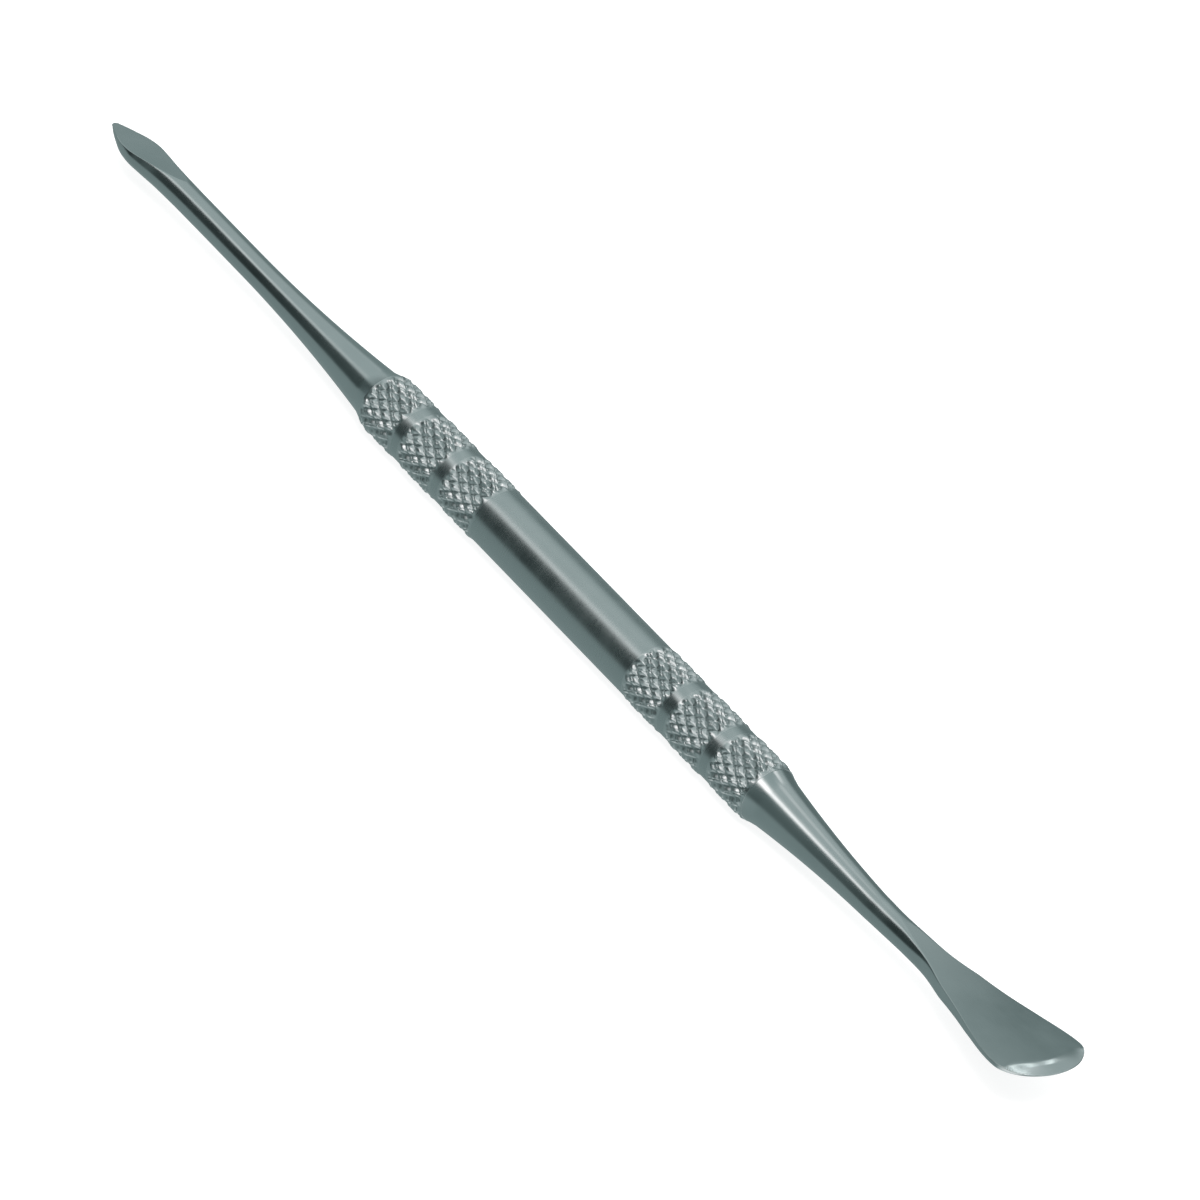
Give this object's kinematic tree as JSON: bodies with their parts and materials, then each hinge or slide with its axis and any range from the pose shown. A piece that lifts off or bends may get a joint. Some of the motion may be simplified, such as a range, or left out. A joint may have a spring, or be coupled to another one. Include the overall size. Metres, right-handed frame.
{
  "type": "double-ended dental elevator",
  "caption": "Double-ended dental elevator with a knurled round handle, a narrow pointed leaf blade at one end and a broad round-nosed spatula blade at the other.",
  "frame": {"origin": "middle of the handle, on its axis", "axes": "+X along the handle towards the broad spatula, +Z the way both ground blade faces look"},
  "size_m": [0.1773, 0.012, 0.0076],
  "materials": {
    "handle_steel": "turned and knurled stainless steel, fine satin",
    "pointed_end_steel": "ground and polished stainless steel, soft satin",
    "spatula_end_steel": "ground and polished stainless steel, soft satin"
  },
  "bodies": {
    "root": {"handle": "handle_steel", "pointed_working_end": "pointed_end_steel", "spatula_working_end": "spatula_end_steel"}
  },
  "joints": []
}
